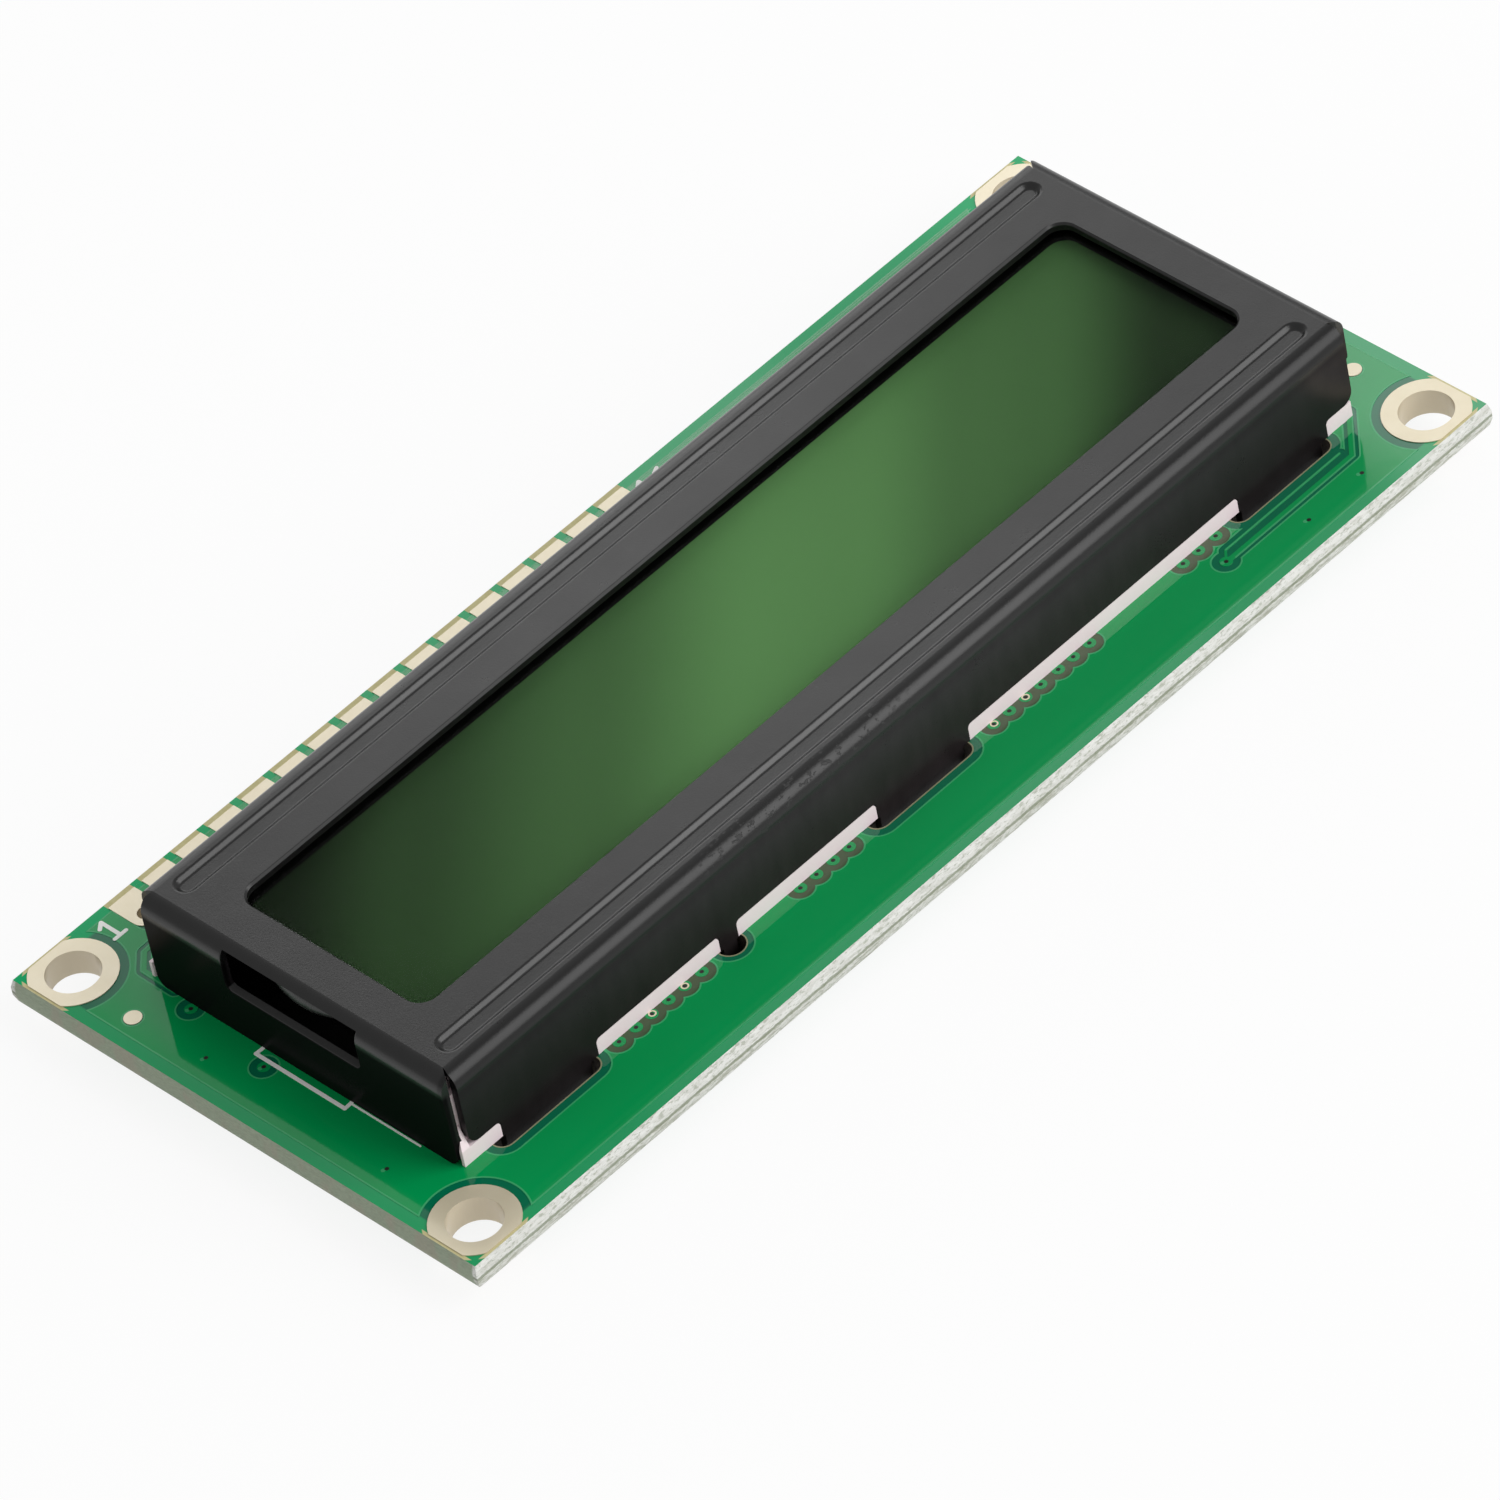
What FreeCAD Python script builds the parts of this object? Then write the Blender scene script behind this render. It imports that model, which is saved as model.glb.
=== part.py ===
"""Character display module: a green circuit board with a folded black bezel over a liquid crystal cell.

Frame: +X along the board, +Y towards the row of connector holes, +Z out of the display.
The origin is on the plane that the bezel's tab ends stand on, under the middle of the board.
All sizes are in millimetres.
"""

import FreeCAD, Part
import math
import os

from FreeCAD import Vector

# Circuit board
board_length = 80.0
board_width = 36.0
board_thickness = 1.6
score_width = 0.15
score_depth = 0.5
copper = 0.06
edge_clearance = 0.4
land_clearance = 0.15

# Mounting holes, as far in from both edges
hole_inset = 2.5
hole_diameter = 3.2
hole_land_diameter = 5.1

# Connector row
pin_count = 16
pin_pitch = 2.54
pin_hole_diameter = 1.0
pin_pad_width = 1.98
pin_row_start = 8.0
pin_row_inset = 2.5

# Alignment marks, from the back left and the front right corner
mark_diameter = 1.05
back_mark_inset = (2.05, 7.67)
front_mark_inset = (2.4, 8.1)

# Bezel sheet
sheet = 0.5
bend_radius = 1.0
bezel_margin_x = 4.4
bezel_margin_y = 5.9
bezel_height = 6.4
bezel_x = 0.3
bezel_y = -0.3
bezel_corner = 0.75
corner_cut_x = 0.85
corner_cut_near = 0.3
corner_cut_far = 0.8
corner_relief = (1.5, 2.7)

# Liquid crystal cell and the contact row under its ledges
cell_x = -0.1
glass_thickness = 0.55
film_thickness = 0.2
film_inset_x = 0.9
film_inset_y = 0.5
contact_inset = 0.95
ledge_gap = 0.45
plug_length = 4.8
plug_bulge = 0.45
plug_sink = 0.35
plug_drop = 0.35

# Bezel window
window_margin_x = 1.7
window_margin_y = 1.65
window_corner = 1.1
window_rim = 0.12
window_shift = 0.15

# Pressed ribs that bear on the front glass
rib_end_margin = 1.8
rib_width = 1.45
rib_slope = 0.3
rib_depth = 0.25
rib_edge = 0.25

# Slot in the left end wall, for the cell's plug
slot_width = 10.3
slot_drop = 3.05
slot_corner = 0.45
slot_top_angle = 45.0
slot_edge = 0.08

# Feet of the long walls, narrower and off their middle where they pass through the board
foot_width = 7.2
foot_shank_width = 6.5
foot_shank_shift = -0.25
foot_inset = 6.7
notch_height = 1.15
notch_corner = 0.3
tongue_width = 2.4
tongue_twist = 40.0
tongue_twist_length = 0.5
tab_drop = 1.3
ground_tab_x = 15.2
ground_tab_width = 1.3
ground_pin_width = 1.0
ground_pin_drop = 0.9

# Openings of the board for the feet
foot_slot_play = 0.6
foot_slot_width = 1.4
foot_slot_shift = -0.5
foot_slot_outward = 0.05
ground_hole_diameter = 1.7

# Conductive rubber strips and the fingers under them
zebra_end_margin = 1.0
zebra_width = 1.8
finger_pitch = 1.6
finger_width = 0.8
finger_length = 1.9

# Backlight frame
frame_end_gap = 0.55
frame_clearance = 0.1
frame_floor = 0.8
frame_end_rail = 0.45
frame_side_rail = 0.4
frame_top_gap = 0.35
frame_corner_drop = 0.85
flange_reach = 0.425
flange_gap = 0.05
gusset_height = 1.3
gusset_tip = 0.05
inner_wall = 0.6
end_recess = 3.0
end_recess_side = 0.5
glass_rest = 0.7

# Backlight parts
guide_gap = 0.1
guide_air = 0.15
led_count = 3
led_size = (0.55, 2.8, 1.4)
strip_thickness = 0.6
strip_side_gap = 1.0
lead_spacing = 2.54
lead_diameter = 0.6
lead_hole_clearance = 0.1
lead_drop = 0.9

# Solder cones under the board
solder_height = 0.55
solder_base = 0.9
solder_tip = 0.4

# Encapsulated chips under the board
controller_blob_place = (-17.5, -0.5)
controller_blob_radius = 5.4
driver_blob_place = (9.5, -0.3)
driver_blob_radius = 4.9
blob_gap = 0.1

# Chip parts under the board: centre and turn in degrees
resistor_size = (2.0, 1.25, 0.5)
resistor_places = (
    ((-4.4, -7.4), 0),
    ((-4.4, -5.2), 0),
    ((-4.4, -3.0), 0),
    ((-4.4, -0.8), 0),
    ((-4.4, 1.4), 0),
    ((-26.6, 3.4), 90),
)
backlight_resistor_size = (3.1, 1.6, 0.55)
backlight_resistor_places = (((25.5, 2.2), 0), ((25.5, -1.4), 0))
capacitor_size = (2.0, 1.25, 0.9)
capacitor_places = (((-26.6, -4.6), 90), ((-4.4, 5.0), 0))
cap_length = 0.4
cap_skin = 0.03
chip_solder_run = 0.45

# How far a cutting form runs past what it cuts
overrun = 1.0

# Plan sizes that follow from the sizes above
bezel_length = board_length - 2 * bezel_margin_x
bezel_width = board_width - 2 * bezel_margin_y
inner_half_y = bezel_width / 2 - sheet - frame_clearance
frame_length = bezel_length - 2 * (sheet + frame_end_gap)
flange_length = frame_length + 2 * flange_reach
glass_length = frame_length - 2 * (frame_end_rail + frame_clearance)
front_glass_width = 2 * (inner_half_y - frame_side_rail - frame_clearance)
contact_y = front_glass_width / 2 - contact_inset
rear_glass_width = 2 * (contact_y - zebra_width / 2 - ledge_gap)
film_length = glass_length - 2 * film_inset_x
film_width = rear_glass_width - 2 * film_inset_y
window_length = glass_length - 2 * window_margin_x
window_width = rear_glass_width - 2 * window_margin_y
rib_length = bezel_length - 2 * rib_end_margin
foot_spacing = bezel_length / 2 - foot_inset
foot_slot_length = foot_width + foot_slot_play
foot_row_y = bezel_width / 2 + foot_slot_outward
zebra_length = glass_length - 2 * zebra_end_margin
finger_count = int(zebra_length / finger_pitch) - 1
cavity_width = rear_glass_width - 2 * glass_rest
guide_width = cavity_width - 2 * guide_gap
end_recess_width = cavity_width - 2 * end_recess_side
strip_width = cavity_width - 2 * strip_side_gap
led_pitch = strip_width / led_count
pin_row_x = -board_length / 2 + pin_row_start
pin_row_y = board_width / 2 - pin_row_inset
land_half_x = board_length / 2 - score_width - land_clearance
land_half_y = board_width / 2 - score_width - land_clearance
pad_end_y = board_width / 2 - score_width - edge_clearance
strip_x = cell_x + frame_length / 2 - frame_end_rail - strip_thickness / 2
led_x = strip_x - strip_thickness / 2 - led_size[0] / 2
left_inner_x = cell_x - frame_length / 2 + end_recess
guide_left_x = left_inner_x + guide_gap
guide_right_x = led_x - led_size[0] / 2 - guide_gap
guide_length = guide_right_x - guide_left_x
guide_x = (guide_left_x + guide_right_x) / 2

# Levels that follow from the sizes above
board_under = tab_drop
board_top = board_under + board_thickness
bezel_top = board_top + bezel_height
sheet_under = bezel_top - sheet
front_glass_top = sheet_under - rib_depth
cell_plane = front_glass_top - glass_thickness
rear_glass_under = cell_plane - glass_thickness
cell_under = rear_glass_under - film_thickness
frame_post_top = bezel_height - sheet - frame_top_gap
slot_floor = bezel_height - slot_drop
guide_floor = board_top + frame_floor + film_thickness
guide_thickness = cell_under - guide_floor - film_thickness - guide_air
blob_height = tab_drop - blob_gap


def slab(x, y, z, length, width, height):
    """Box centred on x, y, standing on z."""
    return Part.makeBox(length, width, height, Vector(x - length / 2, y - width / 2, z))


def rounded_outline(x, y, z, length, width, radius):
    """Closed rectangle with round corners, centred on x, y."""
    half_x = length / 2
    half_y = width / 2
    diagonal = radius * (1 - math.sqrt(0.5))
    edges = []
    corners = ((1, 1), (-1, 1), (-1, -1), (1, -1))
    starts = []
    ends = []
    middles = []
    for index, (sx, sy) in enumerate(corners):
        along_y = Vector(x + sx * half_x, y + sy * (half_y - radius), z)
        along_x = Vector(x + sx * (half_x - radius), y + sy * half_y, z)
        middles.append(Vector(x + sx * (half_x - diagonal), y + sy * (half_y - diagonal), z))
        starts.append(along_y if index % 2 == 0 else along_x)
        ends.append(along_x if index % 2 == 0 else along_y)
    for index in range(4):
        edges.append(Part.Arc(starts[index], middles[index], ends[index]).toShape())
        following = starts[(index + 1) % 4]
        if ends[index].distanceToPoint(following) > 1e-6:
            edges.append(Part.makeLine(ends[index], following))
    return Part.Wire(edges)


def rounded_slab(x, y, z, length, width, height, radius):
    """Prism on a rectangle with round corners."""
    face = Part.Face(rounded_outline(x, y, z, length, width, radius))
    return face.extrude(Vector(0, 0, height))


def rounded_taper(x, y, low, high, radius_low, radius_high):
    """Loft between two rounded rectangles, each given as level, length and width."""
    outlines = [
        rounded_outline(x, y, low[0], low[1], low[2], radius_low),
        rounded_outline(x, y, high[0], high[1], high[2], radius_high),
    ]
    return Part.makeLoft(outlines, True, True)


def drum(x, y, z, radius, height):
    """Upright cylinder."""
    return Part.makeCylinder(radius, height, Vector(x, y, z))


def polygon_prism(points, z, height):
    """Prism on a closed polygon of plan points."""
    wire = Part.makePolygon([Vector(px, py, z) for px, py in points + points[:1]])
    return Part.Face(wire).extrude(Vector(0, 0, height))


def fuse_all(shapes):
    """One clean shape from several that touch or overlap."""
    return shapes[0].multiFuse(shapes[1:]).removeSplitter()


def turned(shape, degrees, x=0.0, y=0.0):
    """Copy turned about an upright axis through x, y."""
    copy = shape.copy()
    copy.rotate(Vector(x, y, 0), Vector(0, 0, 1), degrees)
    return copy


def moved(shape, x, y, z):
    """Copy shifted by x, y, z."""
    copy = shape.copy()
    copy.translate(Vector(x, y, z))
    return copy


def mounting_holes():
    """Centres of the four mounting holes."""
    x = board_length / 2 - hole_inset
    y = board_width / 2 - hole_inset
    return [(sx * x, sy * y) for sx in (-1, 1) for sy in (-1, 1)]


def pin_holes():
    """Centres of the connector holes, from hole 1."""
    return [(pin_row_x + index * pin_pitch, pin_row_y) for index in range(pin_count)]


def foot_slots():
    """Centres of the board's slots for the feet, each longer on one side of its foot."""
    slots = []
    for side in (-1, 1):
        for step in (-1, 0, 1):
            x = bezel_x + step * foot_spacing - side * foot_slot_shift
            slots.append((x, bezel_y + side * foot_row_y))
    return slots


def ground_pins():
    """Centres of the two narrow ground tabs in the walls' mid planes."""
    reach = bezel_width / 2 - sheet / 2
    return [(bezel_x + side * ground_tab_x, bezel_y + side * reach) for side in (-1, 1)]


def ground_holes():
    """Centres of the board's holes for the ground tabs, a little outside the tabs."""
    outward = foot_slot_outward + sheet / 2
    return [(x, y + math.copysign(outward, y)) for x, y in ground_pins()]


def lead_places():
    """Centres of the two backlight leads."""
    return [(strip_x, bezel_y + side * lead_spacing / 2) for side in (-1, 1)]


def circuit_board():
    """Board with scored edges and every hole and slot that a part passes through."""
    full = [(board_length, board_width)] * 2
    trimmed = (board_length - 2 * score_width, board_width - 2 * score_width)
    levels = [
        (board_under, trimmed),
        (board_under + score_depth, full[0]),
        (board_top - score_depth, full[1]),
        (board_top, trimmed),
    ]
    outlines = []
    for z, (length, width) in levels:
        corner = Vector(-length / 2, -width / 2, z)
        outlines.append(Part.makePlane(length, width, corner).OuterWire)
    board = Part.makeLoft(outlines, True, True)
    cutters = []
    for x, y in mounting_holes():
        cutters.append(drum(x, y, board_under, hole_diameter / 2 + copper, board_thickness))
    for x, y in pin_holes():
        cutters.append(drum(x, y, board_under, pin_hole_diameter / 2 + copper, board_thickness))
    for x, y in foot_slots():
        size = (foot_slot_length, foot_slot_width, board_thickness, foot_slot_width / 2)
        cutters.append(rounded_slab(x, y, board_under, *size))
    for x, y in ground_holes():
        cutters.append(drum(x, y, board_under, ground_hole_diameter / 2, board_thickness))
    for x, y in lead_places():
        radius = lead_diameter / 2 + lead_hole_clearance
        cutters.append(drum(x, y, board_under, radius, board_thickness))
    return board.cut(Part.makeCompound(cutters))


def plated_hole(x, y, land, bore_radius):
    """Land on both faces of the board, joined by a barrel. The land's prism is one copper thick."""
    barrel = drum(x, y, board_under, bore_radius + copper, board_thickness)
    pieces = [barrel, moved(land, 0, 0, board_top), moved(land, 0, 0, board_under - copper)]
    bore = drum(x, y, board_under - 2 * copper, bore_radius, board_thickness + 4 * copper)
    return fuse_all(pieces).cut(bore)


def mounting_hole_lands():
    """Round lands, cut straight where they would reach the board's edge."""
    allowed = slab(0, 0, 0, 2 * land_half_x, 2 * land_half_y, copper)
    lands = []
    for x, y in mounting_holes():
        land = drum(x, y, 0, hole_land_diameter / 2, copper).common(allowed)
        lands.append(plated_hole(x, y, land, hole_diameter / 2))
    return lands


def pin_pad(x, y):
    """Pad that runs from a half round below its hole straight out to the board's edge."""
    half = pin_pad_width / 2
    left = Vector(x - half, y, 0)
    right = Vector(x + half, y, 0)
    top_left = Vector(x - half, pad_end_y, 0)
    top_right = Vector(x + half, pad_end_y, 0)
    edges = [
        Part.Arc(left, Vector(x, y - half, 0), right).toShape(),
        Part.makeLine(right, top_right),
        Part.makeLine(top_right, top_left),
        Part.makeLine(top_left, left),
    ]
    return Part.Face(Part.Wire(edges)).extrude(Vector(0, 0, copper))


def header_pads():
    """The row of plated connector holes."""
    return [plated_hole(x, y, pin_pad(x, y), pin_hole_diameter / 2) for x, y in pin_holes()]


def fiducial_marks():
    """Two round tinned marks on the display side."""
    back = (back_mark_inset[0] - board_length / 2, board_width / 2 - back_mark_inset[1])
    front = (board_length / 2 - front_mark_inset[0], front_mark_inset[1] - board_width / 2)
    return [drum(x, y, board_top, mark_diameter / 2, copper) for x, y in (back, front)]


def wall_section():
    """Section of a folded wall: u is the distance in from its outer face, v the height."""
    inner = bend_radius - sheet
    slant = math.sqrt(0.5)
    centre_v = bezel_height - bend_radius
    outer_middle = (bend_radius * (1 - slant), centre_v + bend_radius * slant)
    inner_middle = (bend_radius - inner * slant, centre_v + inner * slant)
    return [
        ("line", (sheet, 0), (0, 0)),
        ("line", (0, 0), (0, centre_v)),
        ("arc", (0, centre_v), outer_middle, (bend_radius, bezel_height)),
        ("line", (bend_radius, bezel_height), (bend_radius, bezel_height - sheet)),
        ("arc", (bend_radius, bezel_height - sheet), inner_middle, (sheet, centre_v)),
        ("line", (sheet, centre_v), (sheet, 0)),
    ]


def folded_wall(place, run):
    """Wall and bend swept along run. place turns a section point into a point in space."""
    edges = []
    for kind, *points in wall_section():
        spots = [place(u, v) for u, v in points]
        edges.append(Part.Arc(*spots).toShape() if kind == "arc" else Part.makeLine(*spots))
    return Part.Face(Part.Wire(edges)).extrude(run)


def round_corners(wall, places):
    """Wall with its free corners rounded in the sheet's plane. Each place gives x or y, and z."""
    edges = []
    for x, y, z in places:
        for edge in wall.Edges:
            box = edge.BoundBox
            level = abs(box.ZMin - z) < 1e-6 and abs(box.ZMax - z) < 1e-6
            at_x = x is not None and abs(box.XMin - x) < 1e-6 and abs(box.XMax - x) < 1e-6
            at_y = y is not None and abs(box.YMin - y) < 1e-6 and abs(box.YMax - y) < 1e-6
            if level and (at_x or at_y):
                edges.append(edge)
    return wall.makeFillet(bezel_corner, edges)


def foot_shank(x, y):
    """Foot through the board, with a tongue twisted under it so that it locks the bezel down."""
    under = -board_thickness
    twist_end = under - tongue_twist_length
    straight = slab(x + foot_shank_shift, y, under, foot_shank_width, sheet, board_thickness)
    outline = Part.makePlane(tongue_width, sheet, Vector(x - tongue_width / 2, y - sheet / 2, under))
    low = moved(turned(outline, tongue_twist, x, y), 0, 0, -tongue_twist_length)
    twist = Part.makeLoft([outline.OuterWire, low.OuterWire], True, True)
    tip_length = tab_drop - tongue_twist_length
    tip = turned(slab(x, y, twist_end - tip_length, tongue_width, sheet, tip_length), tongue_twist, x, y)
    return [straight, twist, tip]


def wall_notches(y, inset=0.0):
    """Gaps under the front wall, between its feet and its ground tab, each made smaller by inset."""
    supports = [(step * foot_spacing, foot_width) for step in (-1, 0, 1)]
    supports.append((-ground_tab_x, ground_tab_width))
    supports.sort()
    end = bezel_length / 2 + bend_radius
    stops = [-end]
    for x, width in supports:
        stops += [x - width / 2, x + width / 2]
    stops.append(end)
    notches = []
    top = notch_height - inset
    for left, right in zip(stops[0::2], stops[1::2]):
        block = slab((left + right) / 2, y, -notch_corner, right - left - 2 * inset, 4 * sheet,
                     top + notch_corner)
        edges = [edge for edge in block.Edges
                 if edge.BoundBox.ZMin > top - 1e-6 and edge.BoundBox.YLength > sheet]
        notches.append(block.makeFillet(notch_corner, edges))
    return Part.makeCompound(notches)


def long_wall():
    """Front wall with its feet, about the bezel's own middle and the board's top."""
    half_x = bezel_length / 2
    half_y = bezel_width / 2
    wall = folded_wall(lambda u, v: Vector(-half_x, u - half_y, v), Vector(bezel_length, 0, 0))
    outside = half_y + overrun
    reach = [
        (-half_x + corner_cut_x, -outside),
        (-half_x + corner_cut_x, -half_y + sheet),
        (-half_x + bend_radius, -half_y + bend_radius),
    ]
    mirrored = [(-x, y) for x, y in reversed(reach)]
    wall = wall.common(polygon_prism(reach + mirrored, -overrun, bezel_height + 2 * overrun))
    middle_y = -half_y + sheet / 2
    wall = wall.cut(wall_notches(middle_y))
    corner_x = half_x - corner_cut_x
    wall = round_corners(wall, [(side * corner_x, None, notch_height) for side in (-1, 1)])
    pieces = [wall]
    for step in (-1, 0, 1):
        pieces += foot_shank(step * foot_spacing, middle_y)
    pin_length = board_thickness + ground_pin_drop
    pieces.append(slab(-ground_tab_x, middle_y, -pin_length, ground_pin_width, sheet, pin_length))
    return fuse_all(pieces)


def end_wall():
    """Left wall, about the bezel's own middle and the board's top. Its back corner is cut further."""
    half_x = bezel_length / 2
    half_y = bezel_width / 2
    wall = folded_wall(lambda u, v: Vector(u - half_x, -half_y, v), Vector(0, bezel_width, 0))
    outside = half_x + overrun
    near = -half_y + corner_cut_near
    far = half_y - corner_cut_far
    reach = [
        (-outside, near),
        (-half_x + sheet, near),
        (-half_x + bend_radius, -half_y + bend_radius),
        (-half_x + bend_radius, half_y - bend_radius),
        (-half_x + sheet, far),
        (-outside, far),
    ]
    wall = wall.common(polygon_prism(reach, -overrun, bezel_height + 2 * overrun))
    return round_corners(wall, [(None, near, 0), (None, far, 0)])


def relieved(wall):
    """Left wall with the lower part of its back corner cut away."""
    width, height = corner_relief
    far = bezel_width / 2 - corner_cut_far
    cut = slab(-bezel_length / 2, far, -overrun, 4 * sheet, 2 * width, height + overrun)
    return round_corners(wall.cut(cut), [(None, far, height), (None, far - width, 0)])


def slot_cutter():
    """Space of the slot that runs from the left wall up into its bend."""
    half_x = bezel_length / 2
    bend_x = -half_x + bend_radius
    bend_z = bezel_height - bend_radius
    reach = 2 * bend_radius
    angle = math.radians(slot_top_angle)
    high = (bend_x - reach * math.sin(angle), bend_z + reach * math.cos(angle))
    outside = -half_x - bend_radius
    points = [(bend_x, bend_z), high, (outside, high[1]), (outside, slot_floor), (bend_x, slot_floor)]
    corners = [Vector(x, -slot_width / 2, z) for x, z in points + points[:1]]
    block = Part.Face(Part.makePolygon(corners)).extrude(Vector(0, slot_width, 0))
    edges = [edge for edge in block.Edges
             if abs(edge.BoundBox.ZMin - slot_floor) < 1e-6 and edge.BoundBox.XLength > sheet]
    return block.makeFillet(slot_corner, edges)


def rib(side, top, sink):
    """Long round-ended form that narrows downwards by the rib's slope."""
    y = side * contact_y
    high = (top, rib_length, rib_width)
    low = (top - sink, rib_length - 2 * rib_slope, rib_width - 2 * rib_slope)
    round_high = rib_width / 2
    return rounded_taper(0, y, low, high, round_high - rib_slope, round_high)


def soften_slot(wall):
    """Left wall with a small round along the outer edge of its slot."""
    half_x = bezel_length / 2
    edges = []
    for edge in wall.Edges:
        box = edge.BoundBox
        outer = abs(box.XMin + half_x) < 1e-6 and abs(box.XMax + half_x) < 1e-6
        inside = box.YMin > -slot_width / 2 - 1e-6 and box.YMax < slot_width / 2 + 1e-6
        if outer and inside and box.ZMin > slot_floor - 1e-6 and box.ZLength + box.YLength > 1e-6:
            edges.append(edge)
    return wall.makeFillet(slot_edge, edges)


def soften_ribs(body):
    """Body with round edges along the tops and floors of both pressed ribs."""
    half_long = rib_length / 2 + 1e-6
    edges = []
    for edge in body.Edges:
        box = edge.BoundBox
        top = abs(box.ZMin - bezel_height) < 1e-6
        floor = abs(box.ZMin - bezel_height + rib_depth) < 1e-6
        flat = box.ZLength < 1e-6
        middle = abs(abs(box.Center.y) - contact_y)
        beside = middle < rib_width / 2 + 1e-6 and abs(box.Center.x) < half_long
        if flat and beside and (top or floor):
            edges.append(edge)
    return body.makeFillet(rib_edge, edges)


def bezel_frame():
    """The folded sheet, one piece with its window, ribs, slot, feet and tabs."""
    flat = slab(0, 0, bezel_height - sheet, bezel_length - 2 * bend_radius,
                bezel_width - 2 * bend_radius, sheet)
    front = long_wall()
    left = end_wall()
    slotted = soften_slot(left.cut(slot_cutter()))
    pieces = [flat, front, turned(front, 180), slotted, turned(relieved(left), 180)]
    pieces += [rib(side, bezel_height - sheet, rib_depth) for side in (-1, 1)]
    body = fuse_all(pieces)
    through = rounded_slab(window_shift, 0, bezel_height - 2 * sheet, window_length, window_width,
                           3 * sheet, window_corner)
    low = (bezel_height - window_rim, window_length, window_width)
    high = (bezel_height, window_length + 2 * window_rim, window_width + 2 * window_rim)
    rim = rounded_taper(window_shift, 0, low, high, window_corner, window_corner + window_rim)
    body = body.cut(through).cut(rim)
    for side in (-1, 1):
        body = body.cut(rib(side, bezel_height, rib_depth))
    body = soften_ribs(body.removeSplitter())
    return moved(body, bezel_x, bezel_y, board_top)


def front_polarizer():
    """Film on the front glass, under the window."""
    return slab(cell_x, bezel_y, front_glass_top, film_length, film_width, film_thickness)


def front_glass():
    """Upper plate, wide enough for a contact ledge along both long sides."""
    return slab(cell_x, bezel_y, cell_plane, glass_length, front_glass_width, glass_thickness)


def rear_glass():
    """Lower plate."""
    return slab(cell_x, bezel_y, rear_glass_under, glass_length, rear_glass_width, glass_thickness)


def rear_polarizer():
    """Film with reflector under the lower plate."""
    return slab(cell_x, bezel_y, cell_under, film_length, film_width, film_thickness)


def end_seal():
    """Drop of epoxy over the cell's filling port, on the left ends of both plates."""
    end_x = cell_x - glass_length / 2
    arc_radius = (plug_length ** 2 / 4 + plug_bulge ** 2) / (2 * plug_bulge)
    depth = plug_bulge + plug_sink
    half = math.sqrt(arc_radius ** 2 - (arc_radius - depth) ** 2)
    axis_x = end_x + plug_sink
    level = cell_plane - plug_drop
    start = Vector(axis_x, bezel_y - half, level)
    crown = Vector(axis_x - depth, bezel_y, level)
    finish = Vector(axis_x, bezel_y + half, level)
    arc = Part.Arc(start, crown, finish).toShape()
    face = Part.Face(Part.Wire([arc, Part.makeLine(finish, start)]))
    lens = face.revolve(start, Vector(0, 1, 0), 360)
    outside = slab(end_x - plug_length / 2, bezel_y, cell_plane - plug_length, plug_length,
                   2 * plug_length, 2 * plug_length)
    return lens.common(outside)


def zebra_strip(side):
    """Rubber strip from the board's fingers up to the ledge of the front glass."""
    low = board_top + copper
    y = bezel_y + side * contact_y
    return slab(cell_x, y, low, zebra_length, zebra_width, cell_plane - low)


def contact_fingers(side):
    """Row of tinned fingers under a rubber strip."""
    first = cell_x - (finger_count - 1) * finger_pitch / 2
    y = bezel_y + side * contact_y
    places = [first + index * finger_pitch for index in range(finger_count)]
    return [slab(x, y, board_top, finger_width, finger_length, copper) for x in places]


def corner_gusset(left, outer):
    """Slope from the front base strip up to the frame's face, in the gap between two bezel walls."""
    right = -bezel_length / 2 + corner_cut_x - flange_gap
    top = notch_height - flange_gap
    base = Part.makePlane(right - left, outer - inner_half_y, Vector(left, -outer, top))
    face_y = -inner_half_y - gusset_tip
    corner = Vector(right - 3 * gusset_tip, face_y, top + gusset_height)
    tip = Part.makePlane(3 * gusset_tip, gusset_tip, corner)
    return Part.makeLoft([base.OuterWire, tip.OuterWire], True, True)


def frame_flanges():
    """Base strips that fill the notches under the bezel's long walls, about the bezel's middle."""
    outer = bezel_width / 2 - flange_gap / 2
    middle = (outer + inner_half_y) / 2
    strip = slab(cell_x - bezel_x, -middle, 0, flange_length, outer - inner_half_y, notch_height)
    strip = strip.common(wall_notches(-middle, flange_gap))
    wall_end = bezel_width / 2 - corner_cut_near + flange_gap
    wall_x = bezel_length / 2 - sheet / 2
    relief = slab(-wall_x, 0, 0, sheet + 2 * flange_gap, 2 * wall_end, notch_height + gusset_height)
    gusset = corner_gusset(cell_x - bezel_x - flange_length / 2, outer)
    front = strip.fuse(gusset).cut(relief)
    shifted = slab(bezel_x - cell_x, -middle, 0, flange_length, outer - inner_half_y, notch_height)
    back = shifted.common(wall_notches(-middle, flange_gap)).cut(turned(relief, 180))
    return [front, turned(back, 180)]


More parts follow.
